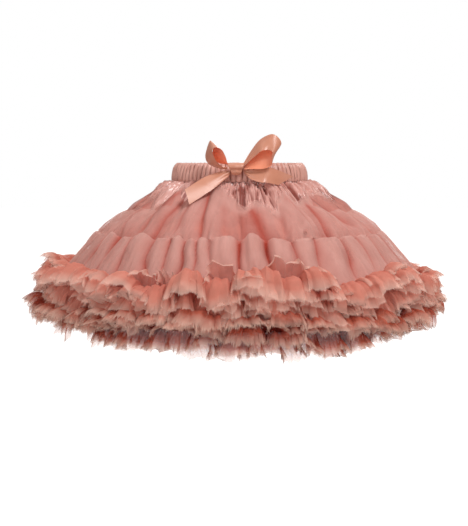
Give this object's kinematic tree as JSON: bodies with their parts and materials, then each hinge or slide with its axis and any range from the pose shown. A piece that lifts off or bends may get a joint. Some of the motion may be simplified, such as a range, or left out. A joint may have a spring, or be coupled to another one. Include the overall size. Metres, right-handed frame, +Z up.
{
  "type": "child's tulle skirt",
  "caption": "Full gathered tulle skirt for a child, with an elastic satin waistband, tulle tiers, ruffled hems on two layers and a ribbon bow, filled out as worn.",
  "frame": {"origin": "centre of the waistband at half its height, where a waist holds the skirt up", "axes": "+Z up, +X to the right as seen from the front, the bow faces -Y"},
  "size_m": [0.5851, 0.5484, 0.2542],
  "materials": {
    "band_satin": "gathered satin over elastic",
    "yoke_satin": "gathered satin, soft sheen",
    "tulle": "soft matt tulle",
    "ruffle_tulle": "soft matt tulle, frayed edges",
    "under_tulle": "soft matt tulle",
    "ribbon_satin": "smooth satin ribbon"
  },
  "bodies": {
    "root": {"waistband": "band_satin", "satin_yoke": "yoke_satin", "upper_tier": "tulle", "lower_tier": "tulle", "hem_ruffle": "ruffle_tulle", "under_skirt": "under_tulle", "under_ruffle": "ruffle_tulle", "bow_knot": "ribbon_satin", "bow_loop_right": "ribbon_satin", "bow_loop_left": "ribbon_satin", "bow_tail_left": "ribbon_satin", "bow_tail_right": "ribbon_satin"}
  },
  "joints": []
}
